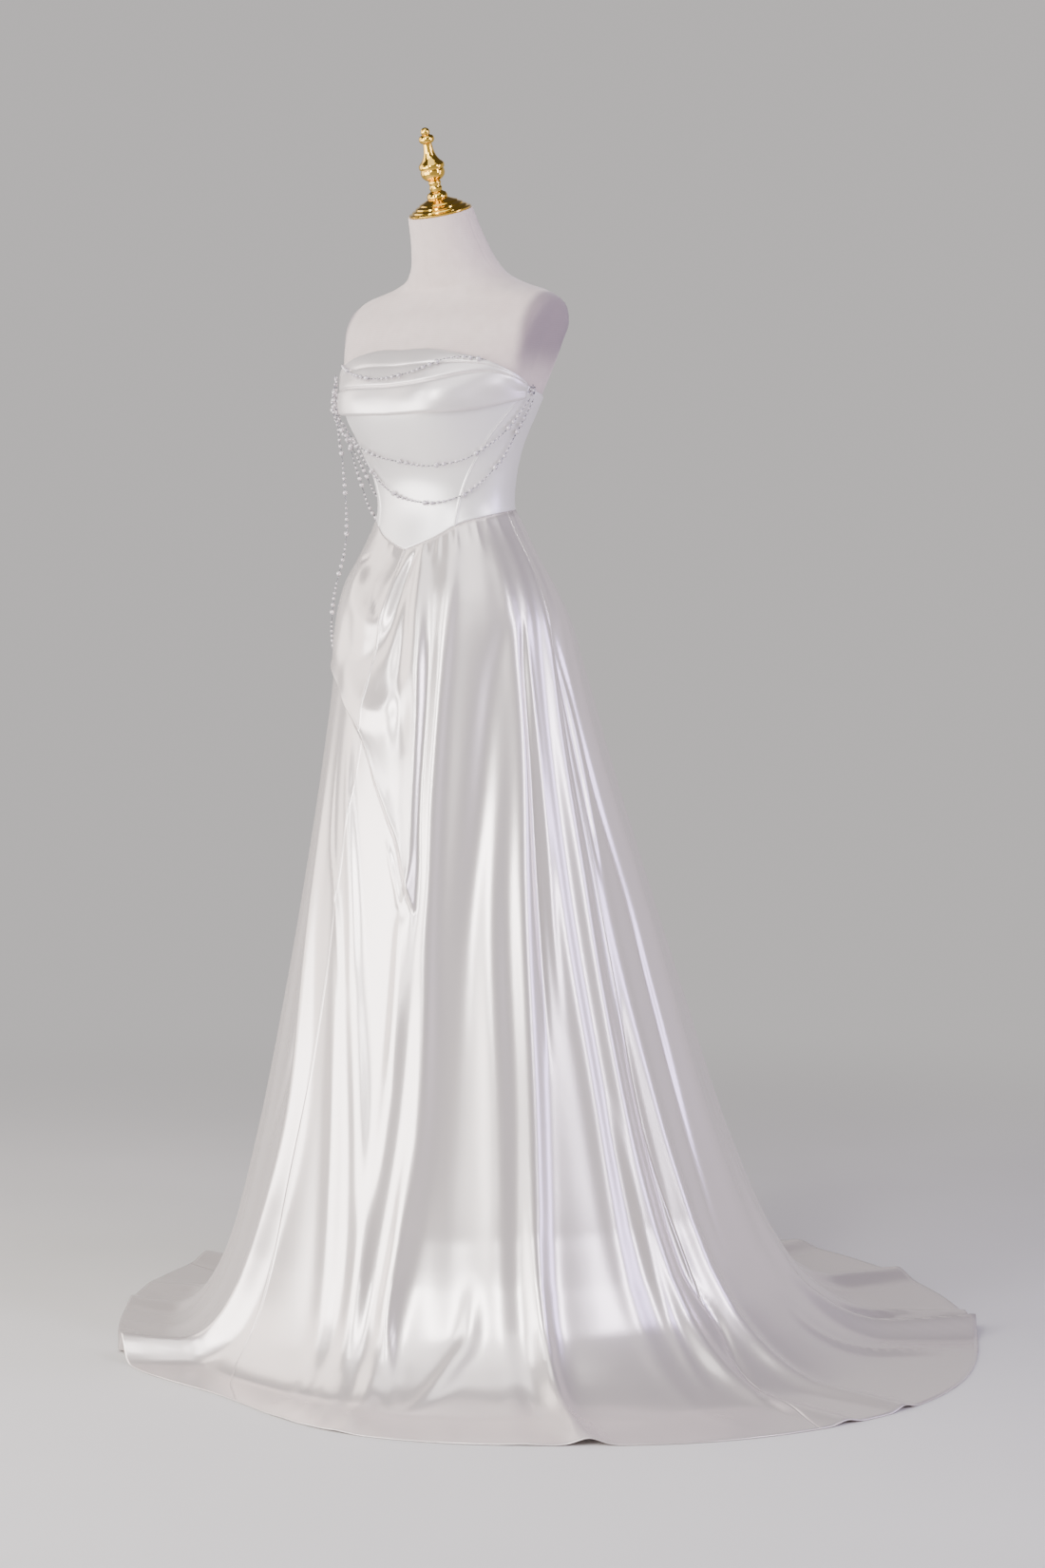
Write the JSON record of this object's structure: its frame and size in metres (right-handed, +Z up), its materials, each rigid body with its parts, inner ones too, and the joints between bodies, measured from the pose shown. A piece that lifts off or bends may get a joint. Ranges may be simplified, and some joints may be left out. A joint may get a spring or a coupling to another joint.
{
  "type": "wedding dress on a dress form",
  "caption": "Strapless satin wedding dress with a folded bust drape, pointed waist, gathered skirt and sweep train, resting on a limbless dress form with a stand.",
  "frame": {"origin": "centre of the stand base's underside, on the floor under the pole", "axes": "+Z up, -Y towards the front of the dress, +X towards the wearer's left"},
  "size_m": [1.3465, 1.3095, 1.711],
  "materials": {
    "satin": "heavy ivory duchess satin, soft sheen",
    "form_cloth": "close woven linen cover, matte",
    "turned_brass": "polished turned brass",
    "stand_steel": "satin black powder coat",
    "pearl": "pearl beads strung with small clear beads"
  },
  "bodies": {
    "root": {"bodice_front": "satin", "bodice_side_left": "satin", "bodice_side_right": "satin", "bodice_back_left": "satin", "bodice_back_right": "satin", "bust_drape": "satin", "skirt_front_left": "satin", "skirt_front_right": "satin", "skirt_back_left": "satin", "skirt_back_right": "satin", "form_torso": "form_cloth", "neck_cap": "turned_brass", "neck_finial": "turned_brass", "stand_base": "stand_steel", "stand_pole": "stand_steel", "underarm_ornament": "pearl", "strand_top": "pearl", "strand_middle": "pearl", "strand_low": "pearl", "strand_loop_long": "pearl", "strand_loop_middle": "pearl", "strand_loop_short": "pearl"}
  },
  "joints": []
}
